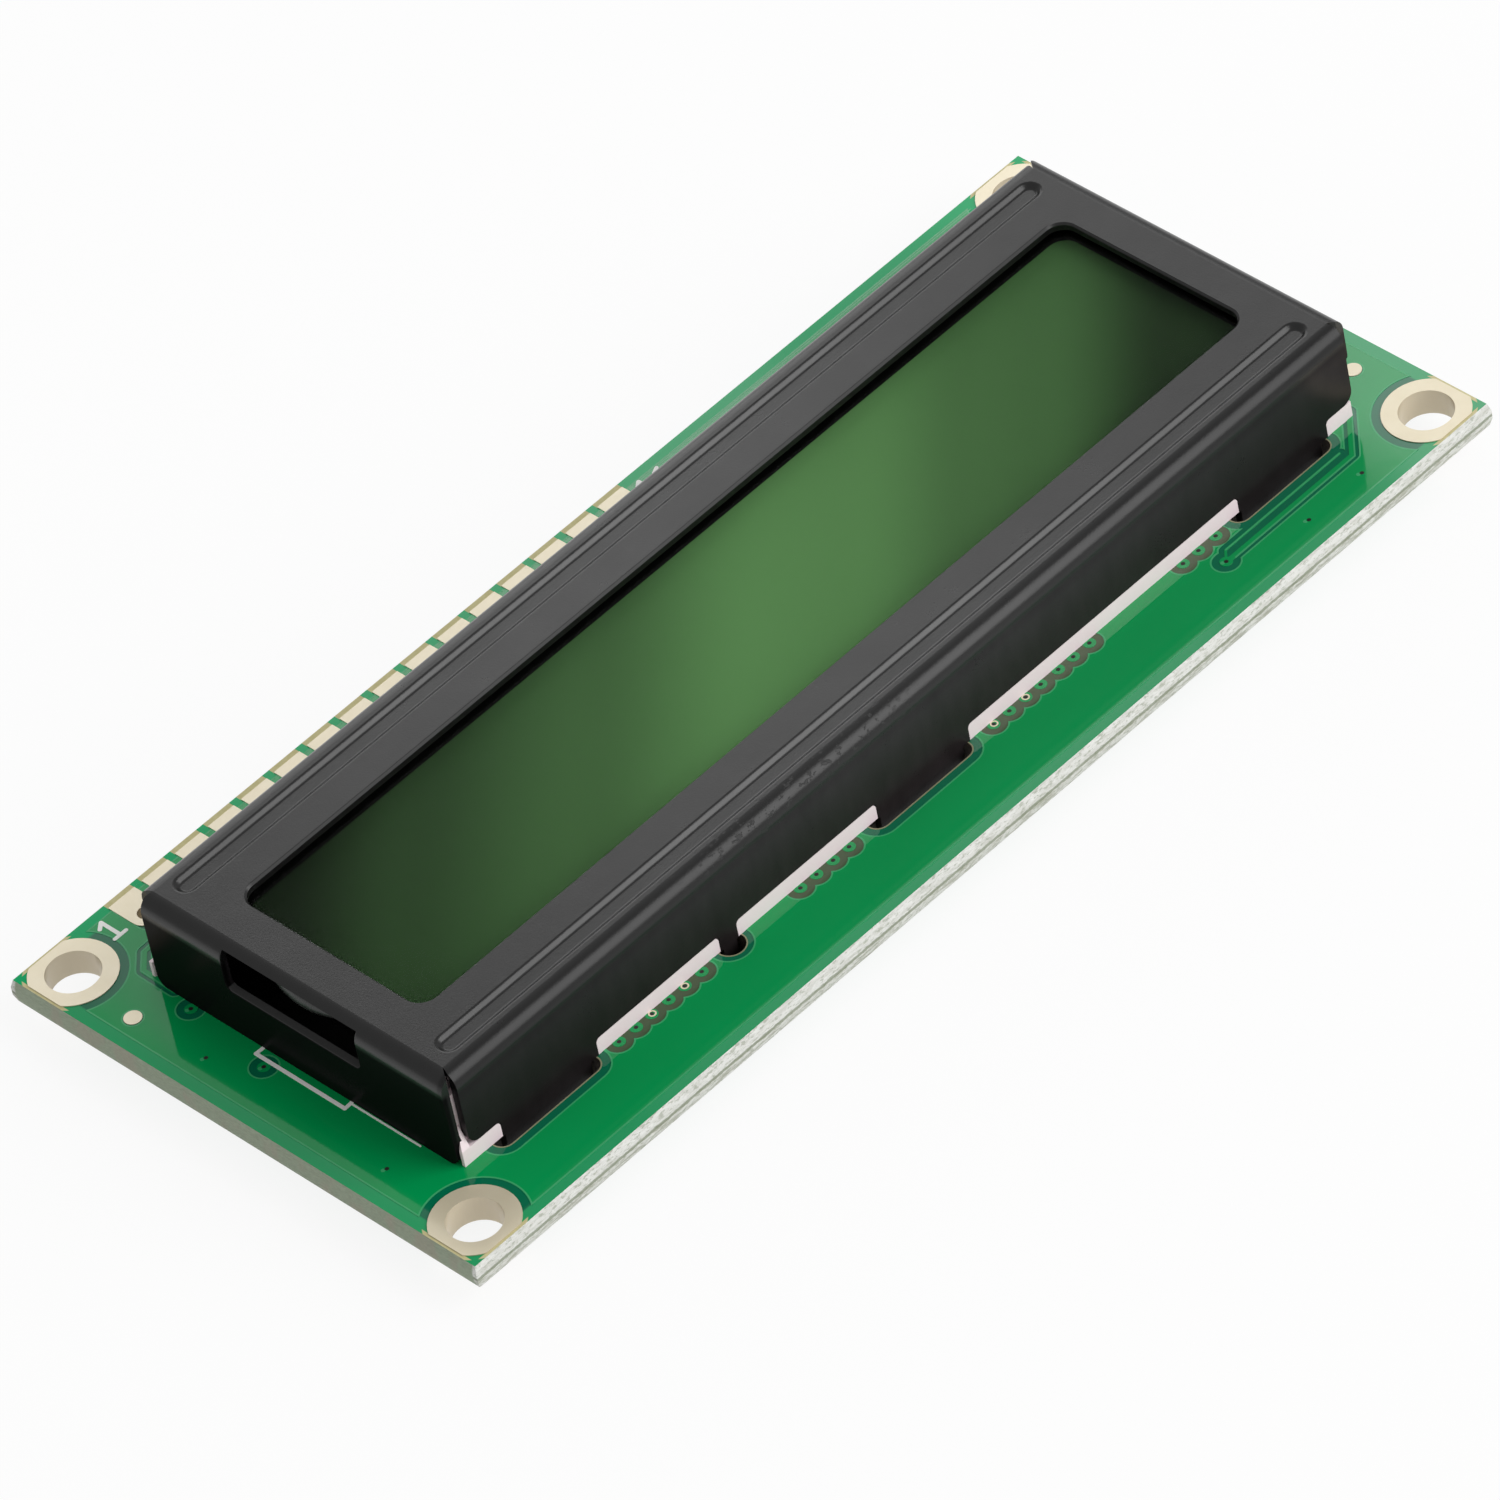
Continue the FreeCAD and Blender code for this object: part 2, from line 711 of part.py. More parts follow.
def backlight_frame():
    """White frame: base strips, rails round the glass, strip channels and the light guide's tray."""
    height = frame_post_top
    body = slab(cell_x, bezel_y, board_top, frame_length, 2 * inner_half_y, height)
    strips = [moved(strip, bezel_x, bezel_y, board_top) for strip in frame_flanges()]
    body = fuse_all([body] + strips)
    cell_low = cell_under - board_top
    glass_gap = 2 * frame_clearance
    cutters = [
        slab(cell_x, bezel_y, cell_under, glass_length + glass_gap, front_glass_width + glass_gap,
             height),
    ]
    channel_outer = front_glass_width / 2 + frame_clearance
    channel_inner = contact_y - zebra_width / 2 - frame_clearance
    for side in (-1, 1):
        y = bezel_y + side * (channel_outer + channel_inner) / 2
        cutters.append(slab(cell_x, y, board_top - overrun, zebra_length + glass_gap,
                            channel_outer - channel_inner, height + 2 * overrun))
    recess_x = cell_x - frame_length / 2
    cutters.append(slab(recess_x, bezel_y, board_top + frame_floor, 2 * (end_recess - inner_wall),
                        end_recess_width, height))
    corner_size = (2 * (frame_end_rail + frame_clearance), 2 * (frame_side_rail + frame_clearance))
    for side_x in (-1, 1):
        for side_y in (-1, 1):
            x = cell_x + side_x * frame_length / 2
            y = bezel_y + side_y * inner_half_y
            low = board_top + frame_post_top - frame_corner_drop
            cutters.append(slab(x, y, low, *corner_size, height))
    cavity_right = strip_x + strip_thickness / 2
    cavity_length = cavity_right - left_inner_x
    cutters.append(slab((cavity_right + left_inner_x) / 2, bezel_y, board_top + frame_floor,
                        cavity_length, cavity_width, cell_low))
    for x, y in lead_places():
        radius = lead_diameter / 2 + lead_hole_clearance
        cutters.append(drum(x, y, board_top - overrun, radius, frame_floor + 2 * overrun))
    return body.cut(Part.makeCompound(cutters)).removeSplitter()


def reflector_sheet():
    """White film on the tray's floor."""
    return slab(guide_x, bezel_y, board_top + frame_floor, guide_length, guide_width, film_thickness)


def light_guide():
    """Clear plate that spreads the light of the strip."""
    return slab(guide_x, bezel_y, guide_floor, guide_length, guide_width, guide_thickness)


def diffuser_sheet():
    """Film between the light guide and the cell."""
    low = guide_floor + guide_thickness
    return slab(guide_x, bezel_y, low, guide_length, guide_width, film_thickness)


def led_strip():
    """Small upright board at the right end of the light guide."""
    height = guide_thickness
    return slab(strip_x, bezel_y, board_top + frame_floor, strip_thickness, strip_width, height)


def leds():
    """Light emitting chips on the strip, facing the light guide."""
    depth, width, height = led_size
    z = guide_floor + (guide_thickness - height) / 2
    middle = (led_count - 1) / 2
    places = [bezel_y + (index - middle) * led_pitch for index in range(led_count)]
    return [slab(led_x, y, z, depth, width, height) for y in places]


def backlight_leads():
    """Two round wires from the strip down through the board."""
    low = board_under - lead_drop
    high = board_top + frame_floor
    return [drum(x, y, low, lead_diameter / 2, high - low) for x, y in lead_places()]


def solder_joints():
    """Cones of solder round the two leads and over the two ground holes."""
    joints = []
    for x, y in lead_places():
        tip = Vector(x, y, board_under - solder_height)
        cone = Part.makeCone(solder_tip, solder_base, solder_height, tip)
        joints.append(cone.cut(drum(x, y, 0, lead_diameter / 2, board_top)))
    for (x, y), (pin_x, pin_y) in zip(ground_holes(), ground_pins()):
        base = ground_hole_diameter / 2 + solder_tip
        tip = Vector(x, y, board_under - solder_height)
        cone = Part.makeCone(ground_hole_diameter / 2, base, solder_height, tip)
        joints.append(cone.cut(slab(pin_x, pin_y, 0, ground_pin_width, sheet, board_top)))
    return joints


def epoxy_blob(place, radius):
    """Dome of epoxy on the underside, a slice of a sphere."""
    x, y = place
    low = board_under - blob_height
    sphere_radius = (radius ** 2 + blob_height ** 2) / (2 * blob_height)
    ball = Part.makeSphere(sphere_radius, Vector(x, y, low + sphere_radius))
    return ball.common(slab(x, y, low, 3 * radius, 3 * radius, blob_height))


def chips(size, places, build):
    """Copies of one chip part's pieces under the board."""
    pieces = []
    for (x, y), turn in places:
        for piece in build(size):
            pieces.append(moved(turned(piece, turn), x, y, board_under))
    return pieces


def chip_body(size):
    """Ceramic middle of a chip part, hanging from z = 0."""
    length, width, height = size
    return [slab(0, 0, -height + cap_skin, length - 2 * cap_length, width - 2 * cap_skin,
                 height - cap_skin)]


def chip_caps(size):
    """Metal ends of a chip part with their solder wedges."""
    length, width, height = size
    caps = []
    for side in (-1, 1):
        outer = side * length / 2
        cap = slab(outer - side * cap_length / 2, 0, -height, cap_length, width, height)
        rise = 0.7 * height
        corners = [Vector(outer, -width / 2, 0), Vector(outer + side * chip_solder_run, -width / 2, 0),
                   Vector(outer, -width / 2, -rise), Vector(outer, -width / 2, 0)]
        wedge = Part.Face(Part.makePolygon(corners)).extrude(Vector(0, width, 0))
        caps.append(fuse_all([cap, wedge]))
    return caps


def resistor_bodies():
    """Ceramic bodies of the chip resistors."""
    small = chips(resistor_size, resistor_places, chip_body)
    return small + chips(backlight_resistor_size, backlight_resistor_places, chip_body)


def capacitor_bodies():
    """Ceramic bodies of the chip capacitors."""
    return chips(capacitor_size, capacitor_places, chip_body)


def chip_end_caps():
    """Ends of every chip part."""
    caps = chips(resistor_size, resistor_places, chip_caps)
    caps += chips(backlight_resistor_size, backlight_resistor_places, chip_caps)
    return caps + chips(capacitor_size, capacitor_places, chip_caps)


def write(node, shape):
    """Write one node, a single piece or a group of separate ones."""
    solids = []
    for item in shape if isinstance(shape, list) else [shape]:
        solids += item.Solids
    group = solids[0] if len(solids) == 1 else Part.makeCompound(solids)
    group.exportStep(os.path.join("parts", node + ".step"))
    volume = sum(solid.Volume for solid in solids)
    valid = all(solid.isValid() for solid in solids)
    print(f"{node}: {len(solids)} solid(s), {volume:.2f} mm3, valid {valid}")


os.makedirs("parts", exist_ok=True)
write("circuit_board", circuit_board())
write("mounting_hole_lands", mounting_hole_lands())
write("header_pads", header_pads())
write("fiducial_marks", fiducial_marks())
write("bezel_frame", bezel_frame())
write("front_polarizer", front_polarizer())
write("front_glass", front_glass())
write("rear_glass", rear_glass())
write("rear_polarizer", rear_polarizer())
write("end_seal", end_seal())
write("zebra_strip_front", zebra_strip(-1))
write("zebra_strip_back", zebra_strip(1))
write("contact_fingers_front", contact_fingers(-1))
write("contact_fingers_back", contact_fingers(1))
write("backlight_frame", backlight_frame())
write("reflector_sheet", reflector_sheet())
write("light_guide", light_guide())
write("diffuser_sheet", diffuser_sheet())
write("led_strip", led_strip())
write("leds", leds())
write("backlight_leads", backlight_leads())
write("solder_joints", solder_joints())
write("epoxy_blob_controller", epoxy_blob(controller_blob_place, controller_blob_radius))
write("epoxy_blob_driver", epoxy_blob(driver_blob_place, driver_blob_radius))
write("resistor_bodies", resistor_bodies())
write("capacitor_bodies", capacitor_bodies())
write("chip_end_caps", chip_end_caps())
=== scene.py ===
import math

import bpy
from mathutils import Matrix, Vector
from mathutils.geometry import delaunay_2d_cdt


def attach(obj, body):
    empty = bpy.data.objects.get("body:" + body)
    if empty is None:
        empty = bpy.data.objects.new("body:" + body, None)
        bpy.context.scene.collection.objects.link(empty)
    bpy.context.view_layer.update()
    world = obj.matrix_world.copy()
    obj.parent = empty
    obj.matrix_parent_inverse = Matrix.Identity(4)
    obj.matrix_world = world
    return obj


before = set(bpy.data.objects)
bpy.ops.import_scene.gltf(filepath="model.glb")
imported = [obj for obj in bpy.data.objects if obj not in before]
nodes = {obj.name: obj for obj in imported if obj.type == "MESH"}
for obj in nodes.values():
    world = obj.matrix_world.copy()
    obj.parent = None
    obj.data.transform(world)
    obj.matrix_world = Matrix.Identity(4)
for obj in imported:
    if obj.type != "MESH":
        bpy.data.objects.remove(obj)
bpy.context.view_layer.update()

# Lengths below are in millimetres, in the part's frame, and become metres where a mesh is made
MM = 0.001

# Board: levels, layers, and half sizes of the copper pour
BOARD_UNDER = 1.3
BOARD_TOP = 2.9
MASK = 0.02
PRINT = 0.02
POUR = (39.05, 17.15)
POUR_CORNER = 0.4
HOLES = [(sx * 37.5, sy * 15.5) for sx in (-1, 1) for sy in (-1, 1)]
PINS = [(-32.0 + 2.54 * index, 15.5) for index in range(16)]
FOOT_SLOTS = [(x, -12.45) for x in (-29.1, -0.2, 28.7)] + [(x, 11.85) for x in (-28.1, 0.8, 29.7)]
GROUND_HOLES = [(-14.9, -12.45), (15.5, 11.85)]
LEADS = [(33.7, -1.57), (33.7, 0.97)]
MARKS = [(-37.95, 10.33), (37.6, -9.9)]

# Openings as length, width and corner radius, or as a radius alone
FOOT_SLOT = (7.8, 1.4, 0.7)
FOOT_CLEARANCE = (9.0, 2.6, 1.3)
GROUND_RADIUS = 0.85
VIA_DRILL = 0.13
VIA_LAND = 0.38
VIA_CLEARANCE = 0.85

# Vias and traces of the display side
ROW_VIAS = [(x, -12.6) for x in (
    -23.65, -22.35, -21.15, -19.85, -18.6, -17.3, -9.65, -8.4, -7.1, -5.85,
    5.55, 6.8, 8.1, 9.3, 10.7, 11.9, 13.2, 20.75, 22.0, 23.4)]
RING_VIAS = [(22.25, -14.45), (-35.6, 8.22), (-36.29, 1.83)]
PLAIN_VIAS = [(-37.68, 4.9), (-37.64, -8.99), (31.76, -15.88), (27.31, -15.98)]
BARE_VIAS = [(-21.1, -12.6), (-18.6, -12.6), (5.6, -12.6), (8.1, -12.6)]
THIN_TRACES = [[(22.25, -14.45), (22.9, -13.8), (32.2, -13.8)]]
WIDE_TRACES = [
    [(22.25, -14.45), (22.75, -14.5), (32.5, -14.5), (35.0, -12.0), (35.0, -11.2), (34.4, -10.4)],
    [(-33.0, 13.5), (-34.1, 13.46), (-35.14, 12.44), (-35.18, 9.9)],
]

# Parts under the board
BLOBS = [(-17.5, -0.5, 5.4), (9.5, -0.3, 4.9)]
CHIPS = [(-4.4, y, 2.0, 1.25) for y in (-7.4, -5.2, -3.0, -0.8, 1.4, 5.0)]
CHIPS += [(-26.6, 3.4, 1.25, 2.0), (-26.6, -4.6, 1.25, 2.0), (25.5, 2.2, 3.1, 1.6), (25.5, -1.4, 3.1, 1.6)]

# Window as middle, length, width and corner radius, and the level of the display's sheet
WINDOW = (0.45, -0.3, 64.6, 14.1, 1.1)
CELL_PLANE = 8.0


class Graph:
    """Nodes of one material, each added in one call."""

    def __init__(self, name):
        self.material = bpy.data.materials.new(name)
        self.material.use_nodes = True
        self.tree = self.material.node_tree
        self.tree.nodes.clear()
        self.place = self.add("TexCoord").outputs["Object"]
        self.mm = self.vector("SCALE", self.place, scale=1 / MM)

    def add(self, kind, inputs=None, **settings):
        """Node of a kind, with settings, and inputs that are values or other nodes' sockets."""
        node = self.tree.nodes.new("ShaderNode" + kind)
        for key, value in settings.items():
            setattr(node, key, value)
        for key, value in (inputs or {}).items():
            if isinstance(value, bpy.types.NodeSocket):
                self.tree.links.new(value, node.inputs[key])
            else:
                node.inputs[key].default_value = value
        return node

    def math(self, operation, *values, clamp=False):
        node = self.add("Math", dict(enumerate(values)), operation=operation, use_clamp=clamp)
        return node.outputs[0]

    def times(self, first, *others):
        """Product of all the values."""
        for other in others:
            first = self.math("MULTIPLY", first, other)
        return first

    def loss(self, value, share):
        """Factor that falls from 1 by the share as the value rises from 0 to 1."""
        return self.math("MULTIPLY_ADD", value, -share, 1.0)

    def off(self, value, middle=0.0):
        """Distance of a value from a middle."""
        return self.math("ABSOLUTE", self.math("SUBTRACT", value, middle))

    def length(self, first, second):
        """Length of the vector with two given parts."""
        squares = [self.math("POWER", value, 2.0) for value in (first, second)]
        return self.math("SQRT", self.math("ADD", *squares))

    def vector(self, operation, *values, scale=None):
        node = self.add("VectorMath", dict(enumerate(values)), operation=operation)
        if scale is not None:
            node.inputs["Scale"].default_value = scale
        return node.outputs["Value" if operation in ("LENGTH", "DISTANCE", "DOT_PRODUCT") else "Vector"]

    def axes(self, vector):
        return self.add("SeparateXYZ", {0: vector}).outputs

    def step(self, value, low, high):
        """Smooth rise from 0 at low to 1 at high."""
        node = self.add("MapRange", {0: value, 1: low, 2: high}, interpolation_type="SMOOTHSTEP")
        return node.outputs[0]

    def noise(self, scale, detail=3.0, vector=None, roughness=0.5, stretch=None):
        """Noise between 0 and 1, with scale in waves per millimetre."""
        vector = vector or self.mm
        if stretch:
            vector = self.vector("MULTIPLY", vector, stretch)
        inputs = {"Vector": vector, "Scale": scale, "Detail": detail, "Roughness": roughness}
        return self.add("TexNoise", inputs).outputs[0]

    def mix(self, factor, first, second, blend="MIX"):
        node = self.add("Mix", data_type="RGBA", blend_type=blend)
        for socket, value in ((node.inputs[0], factor), (node.inputs[6], first), (node.inputs[7], second)):
            if isinstance(value, bpy.types.NodeSocket):
                self.tree.links.new(value, socket)
            elif isinstance(value, (int, float)):
                socket.default_value = value
            else:
                socket.default_value = (*value, 1.0)
        return node.outputs[2]

    def bump(self, height, distance, strength=1.0, normal=None):
        """Bump whose distance is in millimetres."""
        inputs = {"Height": height, "Distance": distance * MM, "Strength": strength}
        if normal:
            inputs["Normal"] = normal
        return self.add("Bump", inputs).outputs[0]

    def upward(self):
        """How far the surface faces up, from -1 to 1."""
        return self.axes(self.add("TexCoord").outputs["Normal"])[2]

    def principled(self, **inputs):
        """Principled shader. Underscores in names stand for spaces."""
        named = {}
        for key, value in inputs.items():
            if isinstance(value, tuple) and len(value) == 3:
                value = (*value, 1.0)
            named[key.replace("_", " ")] = value
        return self.add("BsdfPrincipled", named).outputs[0]

    def finish(self, shader):
        self.add("OutputMaterial", {"Surface": shader})
        return self.material


def grey(value):
    return (value, value, value)


def black_paint():
    """Satin black paint on sheet steel, streaked on the long walls, with painted light and shade: long walls
    lighter at their top and middle, the left end wall painted nearly black as shade, painted highlights on
    cut edges, and a shine painted stronger in the middle and weaker on the walls and the window's back rim.
    """
    g = Graph("black_paint")
    x, y, z = g.axes(g.mm)
    skin = g.noise(9.0, 3.0)
    wide = g.noise(0.35, 3.0)

    # Places: walls, left end wall, cut edges, front fold with its worn part, and back rim of the window
    wall = g.step(z, 8.4, 7.9)
    left = g.times(wall, g.step(x, -34.9, -35.1))
    cut = g.times(g.step(g.upward(), 0.6, 0.8), g.step(z, 8.0, 7.6))
    front = g.times(g.step(y, -11.6, -11.9), g.step(z, 7.2, 7.9))
    fold = g.times(g.step(y, -10.9, -11.7), g.step(z, 7.6, 8.5))
    rubbed = g.times(g.step(x, -19.0, -12.0), g.step(x, 2.5, -3.0))
    speck = g.step(g.noise(2.6, 5.0, stretch=(0.8, 1.0, 1.0), roughness=0.65), 0.57, 0.64)
    worn = g.times(fold, rubbed, speck)
    rim = g.times(g.step(g.off(y, 6.81), 0.15, 0.10), g.step(g.off(x, WINDOW[0]), 31.7, 31.1))

    # Tone, with painted light: the long walls lighter towards their top and their middle, darker towards
    # their ends
    drawn = g.noise(1.2, 4.0, stretch=(0.12, 1.0, 1.0))
    streaks = g.noise(1.1, 4.0, stretch=(1.0, 1.0, 0.3), roughness=0.6)
    lower_wall_shade = g.mix(streaks, (0.010, 0.008, 0.008), (0.026, 0.021, 0.022))
    upper_wall_light = g.mix(streaks, (0.020, 0.016, 0.019), (0.036, 0.030, 0.034))
    wall_streaks_and_painted_light = g.mix(g.step(z, 4.6, 7.8), lower_wall_shade, upper_wall_light)
    wall_streaks_and_painted_light = g.mix(g.step(g.off(x), 36.0, 8.0), g.mix(0.55, wall_streaks_and_painted_light, grey(0.005)), wall_streaks_and_painted_light)
    tone = g.mix(drawn, grey(0.005), grey(0.009))
    tone = g.mix(wall, tone, wall_streaks_and_painted_light)
    # Painted shade: the left end wall is made nearly black.
    tone = g.mix(left, tone, grey(0.004))
    # Painted highlight: the cut edges that face up are made light grey.
    tone = g.mix(cut, tone, grey(0.07))
    tone = g.mix(g.times(worn, 0.7), tone, grey(0.026))

    # Shine, with painted sheen: stronger in the middle of the top, and turned down on the walls, the left end
    # wall, the front wall and the window's back rim, where reflections are painted away
    roughness = g.math("MULTIPLY_ADD", wide, 0.08, 0.23)
    roughness = g.math("MULTIPLY_ADD", skin, 0.05, roughness)
    roughness = g.math("MULTIPLY_ADD", worn, 0.25, roughness)
    specular = g.math("MULTIPLY_ADD", g.step(g.off(x), 36.0, 2.0), 0.14, 0.48)
    specular = g.times(specular, g.loss(wall, 0.76), g.loss(left, 0.8), g.loss(front, 0.38), g.loss(rim, 0.6))
    height = g.math("MULTIPLY_ADD", wide, 2.0, skin)
    height = g.math("MULTIPLY_ADD", worn, -2.0, height)
    return g.finish(g.principled(Base_Color=tone, Roughness=roughness, IOR=1.5,
                                 Specular_IOR_Level=specular, Normal=g.bump(height, 0.005)))


def mask_colour(g, deep, light):
    """Green of the solder mask, with slow changes of depth."""
    slow = g.noise(0.12, 2.0)
    fine = g.noise(3.0, 2.0)
    tone = g.mix(slow, deep, light)
    return g.mix(g.times(fine, 0.12), tone, light)


def painted_mask_sheen(g):
    """Specular level of the mask, a painted sheen that is lower towards the left end."""
    x = g.axes(g.mm)[0]
    return g.math("MULTIPLY_ADD", g.step(x, -32.0, 20.0), 0.28, 0.22)


def laminate():
    """Board: mask over bare laminate on both faces, snapped glass fibre at the edges, and hole walls painted
    dark brown as shade.
    """
    g = Graph("laminate")
    x, y, z = g.axes(g.mm)
    across = g.off(x)
    aside = g.off(y)
    face = g.step(g.off(g.upward()), 0.97, 0.99)
    fine_fibre = g.noise(7.0, 4.0, stretch=(0.5, 0.5, 2.0), roughness=0.6)

    # Faces: lighter outside the pour, lightest behind the pads, khaki where the mask ends
    mask = mask_colour(g, (0.0, 0.135, 0.062), (0.0, 0.160, 0.074))
    rim = g.math("MAXIMUM", g.step(across, 38.95, 39.1), g.step(aside, 17.05, 17.2))
    mask = g.mix(rim, mask, mask_colour(g, (0.0, 0.31, 0.10), (0.01, 0.35, 0.12)))
    behind = g.step(y, 16.6, 16.9)
    mask = g.mix(behind, mask, mask_colour(g, (0.0, 0.38, 0.13), (0.01, 0.42, 0.15)))
    corner_x, corner_y = HOLES[-1]
    reach = g.length(g.math("SUBTRACT", across, corner_x), g.math("SUBTRACT", aside, corner_y))
    strip = g.math("MAXIMUM", g.step(across, 39.60, 39.66), g.step(aside, 17.60, 17.66))
    strip = g.times(strip, g.step(reach, 2.86, 2.80))
    pad = g.step(g.math("PINGPONG", g.math("ADD", x, 32.0), 1.27), 1.02, 0.98)
    row = g.times(g.step(x, -33.3, -33.2), g.step(x, 7.4, 7.3), g.step(y, 17.40, 17.44))
    bare = g.math("MAXIMUM", strip, g.times(pad, row))
    mask = g.mix(bare, mask, g.mix(fine_fibre, (0.52, 0.47, 0.22), (0.72, 0.66, 0.38)))

    # Long edges: snapped fibre, whiter in its upper part, with specks and a dark line
    fibre = g.noise(1.8, 6.0, stretch=(0.45, 1.0, 2.2), roughness=0.72)
    snapped = g.mix(g.step(fibre, 0.34, 0.58), (0.44, 0.45, 0.36), (0.80, 0.81, 0.76))
    snapped = g.mix(g.times(g.step(z, 1.9, 2.15), 0.55), snapped, (0.93, 0.93, 0.90))
    speck = g.step(g.noise(4.5, 4.0, stretch=(0.5, 1.0, 1.3), roughness=0.65), 0.50, 0.64)
    snapped = g.mix(g.times(speck, 0.75), snapped, (0.42, 0.45, 0.36))
    streak = g.step(g.math("ADD", g.off(z, 2.05), g.times(fine_fibre, -0.20)), 0.03, -0.03)
    snapped = g.mix(g.times(streak, 0.75), snapped, (0.20, 0.24, 0.14))

    # Short edges are sawn, with pinkish patches
    pink = g.step(g.noise(0.5, 3.0, stretch=(1.0, 1.0, 0.5)), 0.5, 0.62)
    weave = g.step(fine_fibre, 0.3, 0.7)
    sawn = g.mix(weave, (0.33, 0.39, 0.28), (0.42, 0.49, 0.36))
    sawn = g.mix(g.times(pink, 0.4), sawn, (0.46, 0.38, 0.31))

    sides = g.step(aside, 17.6, 17.75)
    outside = g.math("MAXIMUM", g.step(across, 39.6, 39.75), sides)
    # Painted shade: the walls of the holes and slots are made dark brown.
    wall = g.mix(weave, (0.022, 0.014, 0.008), (0.060, 0.040, 0.022))
    tone = g.mix(face, g.mix(outside, wall, g.mix(sides, sawn, snapped)), mask)

    roughness = g.math("MULTIPLY_ADD", face, -0.67, 0.72)
    roughness = g.math("MULTIPLY_ADD", g.times(bare, face), 0.5, roughness)
    height = g.math("ADD", fibre, g.times(fine_fibre, 0.5))
    height = g.times(height, g.math("SUBTRACT", 1.0, face))
    # Painted sheen: the mask's shine is turned down towards the left end and behind the pads.
    duller = g.math("SUBTRACT", g.times(painted_mask_sheen(g), g.loss(behind, 0.6)), 0.5)
    specular = g.math("MULTIPLY_ADD", face, duller, 0.5)
    return g.finish(g.principled(Base_Color=tone, Roughness=roughness, IOR=1.6,
                                 Specular_IOR_Level=specular, Normal=g.bump(height, 0.16)))


def mask_over(name, deep, light, gloss=0.04):
    """Glossy mask over copper or over bare laminate, or a lighter green for painted highlights along copper
    edges.
    """
    g = Graph(name)
    tone = mask_colour(g, deep, light)
    ripple = g.noise(0.9, 2.0)
    roughness = g.math("MULTIPLY_ADD", ripple, 0.03, gloss)
    return g.finish(g.principled(Base_Color=tone, Roughness=roughness, IOR=1.6,
                                 Specular_IOR_Level=painted_mask_sheen(g), Normal=g.bump(ripple, 0.0006)))


def bare_laminate():
    """Khaki laminate with no mask on it."""
    g = Graph("bare_laminate")
    weave = g.noise(5.0, 4.0, stretch=(0.4, 1.0, 1.0))
    tone = g.mix(weave, (0.22, 0.22, 0.12), (0.34, 0.33, 0.20))
    return g.finish(g.principled(Base_Color=tone, Roughness=0.6, Normal=g.bump(weave, 0.01)))


def plating():
    """Pale plated copper of lands and pads, painted darker in the bores as shade."""
    g = Graph("plating")
    face = g.step(g.off(g.upward()), 0.5, 0.8)
    cloud = g.noise(0.7, 4.0)
    grain = g.noise(14.0, 3.0)
    tone = g.mix(cloud, (0.74, 0.65, 0.45), (0.82, 0.74, 0.55))
    # Painted shade: upright faces, as in the bores, are made darker and browner.
    tone = g.mix(face, g.mix(0.5, tone, (0.45, 0.36, 0.24)), tone)
    roughness = g.math("MULTIPLY_ADD", grain, 0.12, 0.26)
    return g.finish(g.principled(Base_Color=tone, Metallic=0.32, Roughness=roughness, IOR=2.2,
                                 Normal=g.bump(grain, 0.003)))


def solder():
    """Bright tin with slight dimples."""
    g = Graph("solder")
    cloud = g.noise(2.5, 4.0)
    tone = g.mix(cloud, grey(0.52), grey(0.72))
    roughness = g.math("MULTIPLY_ADD", cloud, 0.2, 0.16)
    return g.finish(g.principled(Base_Color=tone, Metallic=1.0, Roughness=roughness,
                                 Normal=g.bump(cloud, 0.02)))


def screen_print():
    """White print with a grain and slightly thin spots."""
    g = Graph("screen_print")
    grain = g.noise(10.0, 4.0)
    tone = g.mix(g.step(grain, 0.2, 0.45), (0.86, 0.90, 0.84), (0.98, 0.98, 0.95))
    return g.finish(g.principled(Base_Color=tone, Roughness=0.5, Normal=g.bump(grain, 0.004)))


def clear_layer(name, rim, gloss):
    """Clear sheet: see-through across its faces, dark at its rim, and faintly glossy if it is the top one."""
    g = Graph(name)
    upward = g.upward()
    face = g.step(g.off(upward), 0.5, 0.9)
    clear = g.add("BsdfTransparent", {"Color": (0.97, 0.985, 0.97, 1.0)}).outputs[0]
    if gloss:
        haze = g.noise(0.2, 3.0)
        roughness = g.math("MULTIPLY_ADD", haze, 0.05, 0.10)
        shine = g.add("BsdfGlossy", {"Color": (1.0, 1.0, 1.0, 1.0), "Roughness": roughness}).outputs[0]
        share = g.add("Fresnel", {"IOR": 1.06}).outputs[0]
        top = g.step(upward, 0.5, 0.9)
        clear = g.add("MixShader", {0: g.times(share, top), 1: clear, 2: shine}).outputs[0]
    streak = g.noise(3.0, 3.0)
    side = g.principled(Base_Color=g.mix(streak, rim, grey(0.01)), Roughness=0.25)
    return g.finish(g.add("MixShader", {0: face, 1: side, 2: clear}).outputs[0])


